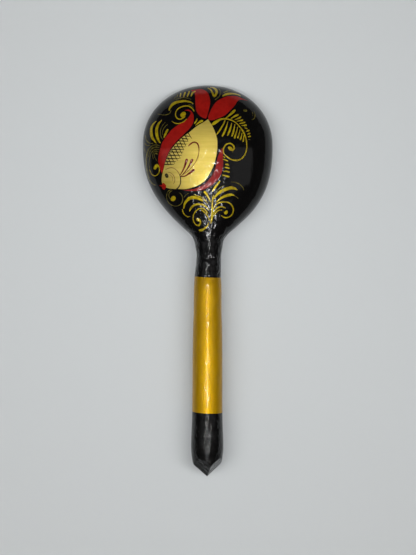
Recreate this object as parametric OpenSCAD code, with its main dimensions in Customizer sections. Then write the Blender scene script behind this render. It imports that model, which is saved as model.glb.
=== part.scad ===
// A carved and lacquered wooden spoon, lying with its bowl face down.
// +Y points to the front of the bowl and +Z up. The origin is under the middle of the length.
// A station is the distance behind the front of the bowl, along Y.

/* [Spoon] */
// Overall length, front of the bowl to the tip of the handle
spoon_len = 200; // [170:1:230]
// Depth of the hollow above the rim plane, at a length of 200
hollow_depth = 17; // [13:0.5:17.5]
// Width of the flat rim, at a length of 200
rim_w = 3.2; // [2.6:0.1:4.5]
/* [Paint] */
// Thickness of a lacquer or gold coat
coat = 0.2; // [0.15:0.05:0.3]
// Height of a brush stroke above the lacquer
brush = 0.1; // [0.08:0.02:0.2]
/* [Handle] */
// Length of the gold band round the handle
band_len = 68.7; // [50:0.1:80]
// Angle of the knife-cut end, from the axis to each ridge
cut_angle = 49; // [40:1:52]

/* [Hidden] */
full_len = 200;
mid = full_len / 2;
arc_sides = 24;

lacquer_black = [0.02, 0.018, 0.016];
tin_gold = [0.9, 0.62, 0.08];
fish_gold = [0.86, 0.72, 0.3];
enamel_red = [0.55, 0.06, 0.04];
deep_red = [0.3, 0.03, 0.02];
scroll_gold = [0.55, 0.48, 0.08];

// ---- Section tables: [station, value] ----
widest = 30.5;
widest_r = 33.3;
front_power = 2.06;
neck = 87;
half_widths = [
    [24.5, 32.8], [widest, widest_r], [36.4, 33.15], [42.5, 32.5], [48.7, 31.05], [54.8, 28.6],
    [60.9, 24.9], [67, 19.9], [73.2, 13.4], [76.3, 9.95], [79.3, 7.75], [82.5, 7], [neck, 6.3],
    [91.6, 6.38], [99, 6.8], [105, 7.1], [115, 7.15], [131.5, 7.57], [159, 7.7], [171, 7.85], [185, 8.3],
    [191.3, 7.7], [196, 6.6], [full_len, 5.5]
];
back_rises = [
    [24.5, 17.5], [widest, 17.8], [36.4, 17.75], [48.7, 16.9], [60.9, 14.6], [70, 11.4],
    [78, 8.05], [82.5, 7], [neck, 6.3]
];
band_front = 98.2;
band_back = band_front + band_len;
band_front_x = 0.05;
tip_x = -0.25;
middles = [
    [0, 0.1], [15, -0.05], [30, 0.05], [46, 0.22], [55, 0.65], [64, 1], [72, 0.87], [80, 0.65],
    [neck, 0.65], [93, 0.38], [band_front, band_front_x]
];

// ---- Smooth curve through a table ----
function span_of(table, s, i = 0) =
    (i >= len(table) - 2 || s < table[i + 1][0]) ? i : span_of(table, s, i + 1);
function slope_at(table, i) =
    let (a = table[max(i - 1, 0)], b = table[min(i + 1, len(table) - 1)]) (b[1] - a[1]) / (b[0] - a[0]);
function smooth(table, s) =
    let (
        i = span_of(table, s),
        h = table[i + 1][0] - table[i][0],
        u = (s - table[i][0]) / h,
        a = slope_at(table, i) * h,
        b = slope_at(table, i + 1) * h
    )
    table[i][1] * (2 * u * u * u - 3 * u * u + 1) + a * (u * u * u - 2 * u * u + u)
        + table[i + 1][1] * (3 * u * u - 2 * u * u * u) + b * (u * u * u - u * u);
function ease(u) = let (c = min(max(u, 0), 1)) c * c * (3 - 2 * c);

// ---- The spoon's own shape ----
// Each takes a station, and d is how far under the painted surface the shape lies.
handle_tilt = 1.04;
cut_turn = 17;
rim_tilt = 1.98;
rim_tuck = 0.46;
axis_rise = tan(handle_tilt);
blunt_front = 0.1;
function half_width(s) =
    s < widest
        ? max(widest_r * pow(1 - pow((widest - s) / widest, front_power), 1 / front_power), blunt_front)
        : smooth(half_widths, s);
axis_end_z = max([for (s = [170:0.5:191]) half_width(s) / cos(handle_tilt) - (full_len - s) * axis_rise]);
function axis_z(s) = axis_end_z + (full_len - s) * axis_rise;
side_heights = [
    [0, 3], [18, 3.6], [36, 4.25], [54, 4.95], [62, 5.6], [70, 7.1], [78, 9], [neck, axis_z(neck)]
];
function side_z(s) = s < neck ? smooth(side_heights, s) : axis_z(s);
function back_rise(s) =
    s < widest ? 17.8 * half_width(s) / widest_r : (s < neck ? smooth(back_rises, s) : half_width(s));
axis_drift = (tip_x - band_front_x) / (full_len - band_front);
function middle_x(s) = s < band_front ? smooth(middles, s) : band_front_x + (s - band_front) * axis_drift;
function rim_z(s) = max(s - rim_tuck, 0) * tan(rim_tilt);
function back_z(x, s) =
    let (u = (x - middle_x(s)) / half_width(s)) side_z(s) + back_rise(s) * sqrt(max(1 - u * u, 0));
function cut_reach(s, d) = max(full_len - d / sin(cut_angle) - s, 0.01) * tan(cut_angle);
function under_front(s, d) = s < widest ? s + d * (1 - s / widest) : s;
// Round, or cut to the four flats. Right at the tip it's a tiny circle inside them.
blunt = 0.5;
function round_limit(s, d, t) =
    let (
        reach = cut_reach(s, d),
        flat_r = reach < blunt ? reach / sqrt(2) : reach / (abs(cos(t - cut_turn)) + abs(sin(t - cut_turn)))
    )
    min(half_width(s) - d, flat_r);

// The upper half of the section at station s, from its left side over the crest to its right side.
function upper_arc(s, d) = [
    for (i = [0:arc_sides])
        let (
            t = 180 * i / arc_sides,
            on_handle = s >= neck,
            rx = on_handle ? round_limit(s, d, t) : max(half_width(s) - d, blunt_front),
            rz = on_handle ? rx : max(back_rise(s) - d, blunt_front)
        )
        [middle_x(s) - rx * cos(t), mid - under_front(s, d), side_z(s) + rz * sin(t)]
];

// ---- The hollow ----
hollow_front = rim_w + rim_tuck;
hollow_back = 68;
hollow_mid = 33;
hollow_power = 2.15;
hollow_r = widest_r * 0.986 - rim_w;
closed_r = 1;
function hollow_swell(s) =
    let (u = abs(s - hollow_mid) / (s < hollow_mid ? hollow_mid - hollow_front : hollow_back - hollow_mid))
    u >= 1 ? 0 : pow(1 - pow(u, hollow_power), 1 / hollow_power);
function hollow_point(s, t, d) =
    let (swell = hollow_swell(s))
    [
        0.1 - max(hollow_r * swell - d, closed_r) * cos(t),
        mid - s,
        rim_z(s) + max(hollow_depth * swell - d, 0) * sin(t)
    ];

// ---- The underside: flat rim and hollow under the bowl, round under the neck and handle ----
flat_end = 73;
round_start = 84;
function rim_edge(s, side, lift, tuck = rim_tuck) =
    let (y = s + tuck * (1 - s / widest) * (s < widest ? 1 : 0))
    [middle_x(s) + side * (half_width(s) - tuck * min(half_width(s) / 20, 1)), mid - y, rim_z(y) + lift];
function lower_round(s, i, d) =
    let (
        t = 12 + 156 * i / arc_sides,
        r = round_limit(s, d, -t),
        rz = s < neck ? r * 0.98 : r
    )
    [middle_x(s) - r * cos(t), mid - s, axis_z(s) - rz * sin(t)];
function lower_flat(s, inner_s, i, d) =
    i == 0 ? rim_edge(s, -1, d)
        : i == arc_sides ? rim_edge(s, 1, d)
        : let (p = hollow_point(inner_s, 180 * (i - 1) / (arc_sides - 2), 0))
            [p.x, p.y, max(p.z, rim_z(inner_s) + d)];
function rounding(s) = ease((s - flat_end) / (round_start - flat_end));
function lower_arc(s, inner_s, d) = [
    for (i = [0:arc_sides])
        let (u = rounding(s))
        u == 0 ? lower_flat(s, inner_s, i, d)
            : u == 1 ? lower_round(s, i, d)
            : lower_flat(s, inner_s, i, d) * (1 - u) + lower_round(s, i, d) * u
];

// The back's lacquer, from its lower edge at one side over the crest to its lower edge at the other.
function back_foot(s, i, d) =
    let (u = rounding(s), edge = rim_edge(s, i == 0 ? -1 : 1, 0, rim_tuck - coat + d))
    u == 0 ? edge : edge * (1 - u) + lower_round(s, i, d) * u;
function back_arc(s, d) = concat([back_foot(s, 0, d)], upper_arc(s, d), [back_foot(s, arc_sides, d)]);

// ---- A closed solid between two grids of points: rows along the spoon, columns across it ----
module between(top, bottom) {
    rows = len(top);
    cols = len(top[0]);
    grid = rows * cols;
    function at(layer, r, c) = layer * grid + r * cols + c;
    points = [for (layer = [top, bottom]) for (row = layer) for (p = row) p];
    top_faces = [
        for (r = [0:rows - 2]) for (c = [0:cols - 2])
            each [
                [at(0, r, c), at(0, r, c + 1), at(0, r + 1, c + 1)],
                [at(0, r, c), at(0, r + 1, c + 1), at(0, r + 1, c)]
            ]
    ];
    bottom_faces = [
        for (r = [0:rows - 2]) for (c = [0:cols - 2])
            each [
                [at(1, r, c), at(1, r + 1, c + 1), at(1, r, c + 1)],
                [at(1, r, c), at(1, r + 1, c), at(1, r + 1, c + 1)]
            ]
    ];
    side_faces = [
        for (r = [0:rows - 2])
            each [
                [at(0, r, 0), at(0, r + 1, 0), at(1, r + 1, 0)],
                [at(0, r, 0), at(1, r + 1, 0), at(1, r, 0)],
                [at(0, r, cols - 1), at(1, r + 1, cols - 1), at(0, r + 1, cols - 1)],
                [at(0, r, cols - 1), at(1, r, cols - 1), at(1, r + 1, cols - 1)]
            ]
    ];
    end_faces = [
        for (c = [0:cols - 2])
            each [
                [at(0, 0, c), at(1, 0, c + 1), at(0, 0, c + 1)],
                [at(0, 0, c), at(1, 0, c), at(1, 0, c + 1)],
                [at(0, rows - 1, c), at(0, rows - 1, c + 1), at(1, rows - 1, c + 1)],
                [at(0, rows - 1, c), at(1, rows - 1, c + 1), at(1, rows - 1, c)]
            ]
    ];
    polyhedron(points, concat(top_faces, bottom_faces, side_faces, end_faces), convexity = 6);
}

// ---- Structure ----
front_stations = [0.02, 0.3, 1, 2.2, 4, 6.5, 9.5, 13, 17, 21, 25.5];
hollow_stations = [
    rim_tuck + 0.02, rim_tuck + 0.3, rim_tuck + 1, rim_tuck + 2.1, hollow_front, hollow_front + 0.1,
    hollow_front + 1.2, hollow_front + 3.6, hollow_front + 7.5, 17, 22
];
bowl_stations = [30.5, 35, 40, 45, 50, 55, 60];
shoulder_stations = [64, 66.5, 69, 71, flat_end];
shoulder_hollow = [64, 66.6, hollow_back - 0.1, hollow_back, 70];
neck_stations = [75, 77, 79, 81, round_start, neck, 92, band_front];
handle_stations = [
    105, 120, 135, 150, 165, 177, 185, 188, 189.5, 191, 192.5, 194, 195.5, 197, 198.5, 199.5
];

inside_end = hollow_back - 0.1;
inside_stations = concat([for (i = [5:10]) hollow_stations[i]], bowl_stations, [64, 66.6]);

module wood_blank() {
    outer = concat(front_stations, bowl_stations, shoulder_stations, neck_stations, handle_stations);
    inner = concat(hollow_stations, bowl_stations, shoulder_hollow, neck_stations, handle_stations);
    rows = len(outer) - 1;
    color("burlywood")
        between(
            [for (r = [0:rows]) upper_arc(outer[r], coat)],
            [for (r = [0:rows]) lower_arc(outer[r], inner[r], coat)]
        );
}

module bowl_back_lacquer() {
    stations = concat([0], front_stations, bowl_stations, shoulder_stations, neck_stations);
    color(lacquer_black)
        between([for (s = stations) back_arc(s, 0)], [for (s = stations) back_arc(s, coat)]);
}

module neck_underside_lacquer() {
    stations = concat([flat_end], neck_stations);
    color(lacquer_black)
        between([for (s = stations) lower_arc(s, s, coat)], [for (s = stations) lower_arc(s, s, 0)]);
}

// Lays a drawing of the rim into the rim plane, with the drawing's y as minus the station.
module in_rim_plane() {
    translate([0, mid - rim_tuck, 0]) rotate([-rim_tilt, 0, 0]) children();
}
function in_plan(p) = [p.x, (p.y - (mid - rim_tuck)) / cos(rim_tilt)];

module rim_lacquer() {
    outer = concat(front_stations, bowl_stations, shoulder_stations);
    inner = concat(inside_stations, [inside_end]);
    last = len(outer) - 1;
    inner_last = len(inner) - 1;
    outline = concat(
        [for (s = outer) in_plan(rim_edge(s, -1, 0))],
        [for (i = [last:-1:0]) in_plan(rim_edge(outer[i], 1, 0))]
    );
    opening = concat(
        [for (s = inner) in_plan(hollow_point(s, 0, 0))],
        [for (i = [inner_last:-1:0]) in_plan(hollow_point(inner[i], 180, 0))]
    );
    color(lacquer_black)
        in_rim_plane()
            linear_extrude(coat)
                difference() {
                    polygon(outline);
                    polygon(opening);
                }
}

module bowl_inside_gold() {
    stations = concat(inside_stations, [inside_end]);
    turn = 180 / (arc_sides - 2);
    color(tin_gold)
        between(
            [for (s = stations) [for (i = [1:arc_sides - 1]) lower_flat(s, s, i, coat)]],
            [for (s = stations) [for (i = [0:arc_sides - 2]) hollow_point(s, turn * i, coat)]]
        );
}

// Points a drawing's own y axis along the handle: the turned coats are drawn as radius against station.
module on_handle_axis() {
    translate([middle_x(full_len), mid - full_len, axis_z(full_len)])
        rotate([0, 0, atan(axis_drift)])
            rotate([handle_tilt - 90, 0, 0])
                children();
}
function turned_profile(stations, d) = [
    for (s = stations) [half_width(s) - d, (full_len - s) / cos(handle_tilt)]
];

module handle_gold_band() {
    stations = [band_front, for (part = [1:8]) band_front + band_len * part / 8];
    outside = turned_profile(stations, 0);
    inside = turned_profile(stations, coat);
    color(tin_gold)
        on_handle_axis()
            rotate_extrude($fn = 96)
                polygon(concat(outside, [for (i = [len(inside) - 1:-1:0]) inside[i]]));
}

// The knife-cut end: a pyramid of four flats, turned a little about the handle.
module cut_pyramid(d) {
    reach = 14;
    apex = d / sin(cut_angle);
    r = (reach - apex) * tan(cut_angle);
    long_r = r + 40 * tan(cut_angle);
    far = reach + 40;
    rotate([0, 0, -cut_turn])
        polyhedron(
            [[0, 0, apex], [long_r, 0, far], [0, long_r, far], [-long_r, 0, far], [0, -long_r, far]],
            [[0, 1, 2], [0, 2, 3], [0, 3, 4], [0, 4, 1], [1, 4, 3, 2]]
        );
}

module handle_end(d) {
    stations = [band_back, 173, 179, 185, 188, 191.3, 194, 196, full_len];
    profile = turned_profile(stations, d);
    intersection() {
        rotate_extrude($fn = 96)
            polygon(concat([[0, profile[0].y]], profile, [[0, 0]]));
        cut_pyramid(d);
    }
}

module handle_end_lacquer() {
    color(lacquer_black)
        on_handle_axis()
            difference() {
                handle_end(0);
                handle_end(coat);
            }
}

// ---- Painted shapes: their points are [x, y] as seen from above ----
sunk = 0.12;
function curve_point(pts, u) =
    let (
        n = len(pts) - 1,
        i = min(floor(u * n), n - 1),
        f = u * n - i,
        a = pts[max(i - 1, 0)], b = pts[i], c = pts[i + 1], d = pts[min(i + 2, n)]
    )
    0.5 * (2 * b + (c - a) * f + (2 * a - 5 * b + 4 * c - d) * f * f + (3 * b - a - 3 * c + d) * f * f * f);
function on_back(p, lift) = [p.x, p.y, back_z(p.x, mid - p.y) + lift];

// A patch of paint between two edge curves, whichever side each is on.
module patch(edge_a, edge_b, rows = 12, cols = 6) {
    way = edge_a[len(edge_a) - 1] - edge_a[0];
    swapped = cross(curve_point(edge_b, 0.5) - curve_point(edge_a, 0.5), way) > 0;
    first = swapped ? edge_b : edge_a;
    second = swapped ? edge_a : edge_b;
    function grid(h) = [
        for (r = [0:rows])
            let (a = curve_point(first, r / rows), b = curve_point(second, r / rows))
            [for (c = [0:cols]) on_back(a + (b - a) * c / cols, h)]
    ];
    between(grid(brush), grid(-sunk));
}

// A brush stroke along a curve: [points, greatest width, where along it is widest, 0 to 1].
thin_end = 0.25;
function stroke_width(u, w, peak) =
    let (f = u < peak ? u / max(peak, 0.001) : (1 - u) / max(1 - peak, 0.001))
    max(thin_end, w * sin(90 * min(max(f, 0), 1)));
module stroke(pts, w, peak = 0.5, rows = 6, lift = brush, under = -sunk) {
    function across(u, side) =
        let (
            here = curve_point(pts, u),
            ahead = curve_point(pts, min(u + 0.02, 1)) - curve_point(pts, max(u - 0.02, 0)),
            way = ahead / max(norm(ahead), 0.001)
        )
        here + side * stroke_width(u, w, peak) / 2 * [-way.y, way.x];
    function grid(h) = [
        for (r = [0:rows]) let (u = r / rows) [for (side = [-1, 1]) on_back(across(u, side), h)]
    ];
    between(grid(lift), grid(under));
}
module dab(p, r, lift = brush) {
    function grid(h) = [
        for (a = [-80:32:80])
            [for (side = [-1, 0, 1]) on_back(p + r * [side * cos(a), -sin(a)], h)]
    ];
    between(grid(lift), grid(-sunk));
}

// ---- The fish ----
fish_upper_edge = [
    [-0.4, 81.4], [-4.5, 78.8], [-8, 76], [-13, 72.5], [-18, 67], [-21.5, 61.5], [-22.7, 57], [-23.3, 52],
    [-22.6, 48.6]
];
fish_lower_edge = [
    [0.4, 81.2], [3.4, 76], [5, 70], [4.5, 64], [2.6, 58], [-1, 52.3], [-6, 48.4], [-11, 46.9], [-16, 46.7],
    [-21.6, 47.4]
];
module fish_body() {
    color(fish_gold) patch(fish_upper_edge, fish_lower_edge, 18, 8);
}

over_fish = brush + 0.08;
scale_line = 0.5;
scale_inner_line = [[-7, 72], [-12, 67], [-15.6, 62], [-17.6, 58]];
scale_outer_line = [[-9.8, 74.2], [-15, 69.7], [-19.2, 63.8], [-21.2, 58]];
module fish_scales_along() {
    color(lacquer_black)
        for (f = [0, 0.5, 1])
            let (line = [for (i = [0:3]) scale_outer_line[i] * (1 - f) + scale_inner_line[i] * f])
            stroke(line, scale_line, 0.5, 10, over_fish);
}
module fish_scales_across() {
    color(lacquer_black)
        for (u = [0.04:0.1:0.94])
            let (a = curve_point(scale_outer_line, u), b = curve_point(scale_inner_line, min(u + 0.06, 1)))
            stroke([a, (a + b) / 2, b], scale_line, 0.5, 3, over_fish);
}
module fish_gill() {
    color(deep_red) {
        stroke([[-21, 57.3], [-17.5, 57.4], [-14.6, 54], [-15.3, 46.9]], 0.7, 0.5, 8, over_fish);
        stroke([[-21.6, 54.9], [-18, 55], [-16.7, 52], [-18, 48.4]], 0.6, 0.5, 8, over_fish);
        stroke(
            [[-9.5, 68.5], [-7, 70.5], [-5, 69], [-4.3, 66], [-4.8, 62], [-8, 57], [-11.5, 54.6]],
            0.8, 0.4, 12, over_fish
        );
    }
}
module fish_side_fin() {
    color(deep_red) {
        stroke([[-13.6, 54.4], [-12, 57.6], [-10.6, 61.3]], 2, 0.75, 6, over_fish);
        stroke([[-12.4, 53.6], [-10, 57], [-7.9, 60.8]], 1.9, 0.75, 6, over_fish);
        stroke([[-12, 52.6], [-9.4, 54.2], [-6.8, 56]], 1.8, 0.75, 6, over_fish);
    }
}
module fish_eye() {
    color(lacquer_black) dab([-20.6, 53.1], 0.95, over_fish);
}
module fish_mouth() {
    color(enamel_red) dab([-22.9, 47.6], 1.1);
}
module fish_back_fin() {
    color(enamel_red)
        patch(
            [
                [-10.7, 87], [-10.5, 84], [-10.6, 81.7], [-16, 77.5], [-20, 74], [-23, 69], [-24.7, 64],
                [-24.4, 58], [-23.6, 54]
            ],
            [
                [-10.1, 87], [-7.9, 84.7], [-7.5, 82.3], [-8.6, 79], [-11.3, 75.6], [-16, 71],
                [-20.2, 64.8], [-22.4, 58.5], [-23.2, 54]
            ],
            16, 4
        );
}
module fish_belly_fin() {
    color(enamel_red)
        patch(
            [[-11, 45.6], [-5, 45.6], [0, 47.4], [4, 50], [7, 54], [8.1, 58], [8.4, 62], [7.9, 68]],
            [[-11, 46.2], [-6, 46.9], [-1, 49], [2.5, 52.5], [4.8, 57.5], [6, 62.5], [6.9, 66], [7.5, 68]],
            14, 3
        );
}
module fish_tail() {
    color(enamel_red) {
        patch(
            [[-1.2, 82.7], [-4.5, 85], [-6.2, 89], [-6.7, 93.5], [-6.2, 96.6]],
            [[-0.5, 83], [0.5, 87], [1.3, 90.6], [0.7, 94.6], [-3, 97.2]],
            10, 4
        );
        patch(
            [[0.6, 82.6], [1.6, 86], [3.5, 90], [6, 92.5], [9.5, 93.9], [13, 94], [17, 93.1], [21, 90.6]],
            [[1.2, 82], [4.4, 82], [7, 83], [9.8, 85.4], [12.2, 87.6], [14.2, 90.3], [17, 91.4], [21, 90]],
            14, 4
        );
    }
}

// ---- Leaves and curls: [points, greatest width, where it is widest] ----
module scrollwork(list) {
    color(scroll_gold) for (one = list) stroke(one[0], one[1], one[2]);
}

module fern_leaf() {
    // The stem bends over the leaflets, which are worked out from its two rows of ends.
    scrollwork([
        [
            [[3.4, 80], [5, 81.2], [8.5, 82], [12, 81.3], [15, 78.6], [17.9, 74], [19.4, 70], [19.9, 66]],
            1.3, 0.1
        ],
        [[[19.8, 65], [18.5, 62.3], [15, 60.9], [11.5, 61.9], [8.7, 65]], 0.8, 0.5],
        [[[8.4, 67.4], [9.2, 69.3], [11.5, 70], [13.4, 68.9]], 0.6, 0.5]
    ]);
    inner_roots = [
        [7.6, 80.8], [9.4, 80.8], [11.8, 80.2], [13.5, 78.9], [14.8, 77.4], [16, 75.6], [17.2, 73.5]
    ];
    inner_tips = [
        [4.6, 75.4], [7.6, 74.8], [10.2, 74.4], [12.2, 74], [13.8, 73.2], [15.2, 72.2], [16.4, 71.2]
    ];
    outer_roots = [
        [12.3, 82.2], [14, 80.9], [15.3, 79.6], [16.5, 78], [17.7, 76], [18.9, 73.8], [19.8, 71.4]
    ];
    outer_tips = [
        [13.2, 86.5], [15.2, 84.4], [17, 82.7], [18.6, 80.8], [20, 78.6], [21.2, 76.2], [21.8, 73.6]
    ];
    function leaflet(root, tip, bow) = [root, (root + tip) / 2 + bow, tip];
    scrollwork([for (i = [0:6]) [leaflet(inner_roots[i], inner_tips[i], [0.2, 0]), 0.8, 0.3]]);
    scrollwork([for (i = [0:6]) [leaflet(outer_roots[i], outer_tips[i], [0.1, 0.1]), 1, 0.75]]);
    color(scroll_gold) dab([12, 67], 1.1);
}

module upper_curl() {
    scrollwork([
        [
            [[-13.9, 82.6], [-15.6, 83], [-16.5, 84.9], [-15.5, 87], [-12.5, 88.4], [-9.6, 88], [-7.4, 86]],
            0.8, 0.5
        ],
        [[[-17.3, 80.9], [-14.4, 80.7], [-12, 82]], 0.6, 0.5],
        [[[-13.2, 89.6], [-9.4, 89.4], [-6.9, 87.8]], 0.6, 0.5],
        [[[-19.3, 87.7], [-17, 90], [-12, 91.5], [-8, 90.9]], 1.4, 0.5],
        [[[-17, 92.2], [-12.7, 93.2], [-9, 92.7]], 0.5, 0.5],
        [[[-19.9, 86.9], [-20.8, 85.1], [-23.8, 84.5], [-26, 84.8]], 0.5, 0.3]
    ]);
    scrollwork([
        for (i = [0:7])
            let (root = [-16.6 + 1.35 * i, 93.8 + 0.28 * i])
            [[root, root + [0.3, 0.6], root + [0.6, 1.2]], 0.45, 0.5]
    ]);
    color(scroll_gold) dab([-12.6, 84.4], 1.3);
}

module left_fan() {
    scrollwork([
        [[[-26.6, 81], [-29, 76], [-26.4, 71.5]], 1.6, 0.5],
        [[[-24.3, 81.3], [-26.7, 76], [-24.4, 70.7]], 1.3, 0.5],
        [[[-22.3, 79.6], [-24.6, 75.6], [-23.9, 72]], 0.7, 0.5],
        [[[-20.6, 77.7], [-21.4, 76.2], [-22.6, 74.6]], 0.9, 0.5],
        [[[-30.6, 75], [-30.2, 70.5], [-28.6, 68.6]], 0.8, 0.5]
    ]);
}

module left_curl() {
    scrollwork([
        [
            [[-25.2, 57.2], [-25, 55], [-26.8, 53.5], [-29, 55.4], [-29.4, 59], [-28.7, 64], [-27, 67.2]],
            0.8, 0.5
        ],
        [[[-25, 68.3], [-28.2, 68], [-30.8, 65], [-31.4, 60], [-30.8, 54], [-28.4, 49.5]], 1.1, 0.5]
    ]);
    color(scroll_gold) dab([-26.8, 58.4], 1.1);
}

module tail_leaves() {
    scrollwork([
        [[[-6.2, 80.6], [-6, 82], [-5.2, 83.3]], 0.9, 0.5],
        [[[-5, 80], [-4, 81], [-3, 81.5]], 0.8, 0.5]
    ]);
}

module top_leaves() {
    scrollwork([
        [[[2.2, 97.8], [3.3, 96.2], [3, 94.2]], 0.8, 0.5],
        [[[4.6, 97.5], [4.9, 95.6], [4.2, 94]], 0.8, 0.5],
        [[[6.5, 96.9], [6.3, 95], [5.4, 93.6]], 0.5, 0.5],
        [[[8.2, 94.9], [11, 96], [15, 95]], 1.1, 0.5]
    ]);
}

module right_curl() {
    scrollwork([[[[20.8, 88.2], [23, 87.6], [24.4, 86], [23.8, 83.6]], 0.5, 0.5]]);
    color(scroll_gold) dab([19.6, 86.6], 0.8);
}

module ladder_leaflets() {
    scrollwork([
        for (y = [53.3, 55.2, 57, 58.8, 61, 63, 65])
            [[[8.9, y + 0.3], [10, y], [11, y - 0.5]], 0.8, 0.4]
    ]);
}

module lower_spray() {
    scrollwork([
        [[[-1, 26.8], [0.5, 28.2], [2, 31], [2.6, 36], [2.6, 41], [3.5, 45], [5.8, 49.6]], 1, 0.4],
        [[[-4.2, 25], [-2, 25.4], [0, 27]], 1.3, 0.5],
        [[[4.6, 43], [8, 46.5], [12, 47.8], [15, 46.3]], 1.4, 0.5],
        [[[4.4, 40.4], [8, 42.9], [11, 43.9], [14, 43.4]], 1.1, 0.5],
        [
            [[3.6, 37.3], [6.4, 39.9], [10.2, 39.9], [12.9, 37.4], [12.7, 34], [10.4, 32], [7.4, 32.6]],
            0.9, 0.5
        ],
        [[[3.7, 34.2], [5.5, 36.7], [8.6, 37]], 0.7, 0.5],
        [[[-12, 38.2], [-10, 41.3], [-6, 42.8], [-2, 41.7]], 1.5, 0.5],
        [[[-9, 36.6], [-7, 38.4], [-3, 38.7], [0.4, 37]], 1.2, 0.5],
        [[[-12.4, 36.8], [-11.9, 34.4], [-9.2, 32.8]], 0.5, 0.5],
        [[[-0.9, 45.2], [-0.1, 43.4], [1.2, 41.6]], 0.9, 0.5],
        [[[-4.4, 36.3], [-7, 33.3], [-7.1, 30], [-5.6, 27.8]], 0.8, 0.5]
    ]);
    color(scroll_gold) {
        dab([9.4, 34.4], 1.05);
        dab([-4.9, 30.5], 1.1);
    }
}

module lower_curl() {
    scrollwork([
        [[[-19.3, 44.6], [-19.6, 42.6], [-18.8, 40.4]], 0.6, 0.5],
        [
            [[-15.8, 45.2], [-13.2, 43], [-12.9, 40.4], [-15, 38], [-18.4, 38.6], [-20.8, 42], [-20.8, 45]],
            1, 0.5
        ]
    ]);
    color(scroll_gold) dab([-16.8, 41.6], 1.15);
}

scale(spoon_len / full_len) {
    wood_blank();
    bowl_back_lacquer();
    neck_underside_lacquer();
    rim_lacquer();
    bowl_inside_gold();
    handle_gold_band();
    handle_end_lacquer();
    fish_body();
    fish_scales_along();
    fish_scales_across();
    fish_gill();
    fish_side_fin();
    fish_eye();
    fish_mouth();
    fish_back_fin();
    fish_belly_fin();
    fish_tail();
    fern_leaf();
    upper_curl();
    left_fan();
    left_curl();
    tail_leaves();
    top_leaves();
    right_curl();
    ladder_leaflets();
    lower_spray();
    lower_curl();
}
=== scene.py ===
"""A painted wooden spoon, lying bowl down on a pale table.

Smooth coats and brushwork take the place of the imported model's plain ones. The carved wood under them stays.
"""
import math

import bpy
import numpy as np
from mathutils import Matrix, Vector
from mathutils.geometry import delaunay_2d_cdt


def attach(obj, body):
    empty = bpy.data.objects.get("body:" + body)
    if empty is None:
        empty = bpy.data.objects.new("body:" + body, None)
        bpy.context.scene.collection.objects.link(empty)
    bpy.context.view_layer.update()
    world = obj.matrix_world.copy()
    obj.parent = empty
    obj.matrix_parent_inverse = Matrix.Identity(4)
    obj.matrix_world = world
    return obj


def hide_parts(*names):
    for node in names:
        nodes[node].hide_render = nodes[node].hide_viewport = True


MM = 0.001
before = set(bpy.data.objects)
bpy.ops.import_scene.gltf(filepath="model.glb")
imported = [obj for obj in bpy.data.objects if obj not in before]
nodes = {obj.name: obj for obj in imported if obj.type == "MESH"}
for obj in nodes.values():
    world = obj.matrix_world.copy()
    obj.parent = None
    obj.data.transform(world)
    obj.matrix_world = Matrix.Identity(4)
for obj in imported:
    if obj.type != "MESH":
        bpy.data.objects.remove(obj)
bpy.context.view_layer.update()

# ---- The carved shape, in millimetres. A station is the distance behind the front of the bowl. ----
FULL = 200.0
MID = FULL / 2
WIDEST = 30.5
WIDEST_R = 33.3
FRONT_POWER = 2.06
BLUNT = 0.005
BACK_RISE = 17.8
NECK = 87.0
BAND_FRONT = 98.2
NECK_FLATNESS = 0.98
HANDLE_TILT = math.radians(1.04)
CUT_ANGLE = math.radians(49)
CUT_TURN = math.radians(17)
TIP_X = -0.25

# By station: half the width, how far the crest stands over the sides, and how far the middle is off centre.
HALF_WIDTHS = [
    (24.5, 32.8), (WIDEST, WIDEST_R), (36.4, 33.15), (42.5, 32.5), (48.7, 31.05), (54.8, 28.6), (60.9, 24.9),
    (67, 19.9), (73.2, 13.4), (76.3, 9.95), (79.3, 7.75), (82.5, 7), (NECK, 6.3), (91.6, 6.38), (99, 6.8),
    (105, 7.1), (115, 7.15), (131.5, 7.57), (159, 7.7), (171, 7.85), (185, 8.3), (191.3, 7.7), (196, 6.6),
    (FULL, 5.5),
]
BACK_RISES = [
    (24.5, 17.5), (WIDEST, BACK_RISE), (36.4, 17.75), (48.7, 16.9), (60.9, 14.6), (70, 11.4), (78, 8.05),
    (82.5, 7), (NECK, 6.3),
]
MIDDLES = [
    (0, 0.1), (15, -0.05), (30, 0.05), (46, 0.22), (55, 0.65), (64, 1), (72, 0.87), (80, 0.65), (NECK, 0.65),
    (93, 0.38), (BAND_FRONT, 0.05),
]

RIM_TILT = math.radians(1.98)
RIM_SHARE = 0.986
RIM_TUCK = 0.46
RIM_W = 3.2
TUCKED_FROM = 20
HOLLOW_DEPTH = 17.0
HOLLOW_FRONT = RIM_W + RIM_TUCK
HOLLOW_MID = 33.0
HOLLOW_BACK = 68.0
HOLLOW_POWER = 2.15
HOLLOW_R = WIDEST_R * RIM_SHARE - RIM_W
HOLLOW_END_R = 1
HOLLOW_X = 0.1

COAT = 0.2
FLAT_END = 73.0
ROUND_START = 84.0
UNDER_TURN = math.radians(12)
BAND_BACK = BAND_FRONT + 68.7
BAND_LEAN = 0.33
UNDER_BAND = 0.05
UNDER_BAND_REACH = 0.8
UNDER_BAND_FADE = 0.5

# ---- How fine the coats are: points across each of them ----
ARC_POINTS = 145
SIDE_POINTS = 7
UNDERSIDE_POINTS = 65
HOLLOW_POINTS = 121
SLEEVE_POINTS = 161
SHARP = math.radians(35)

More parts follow.
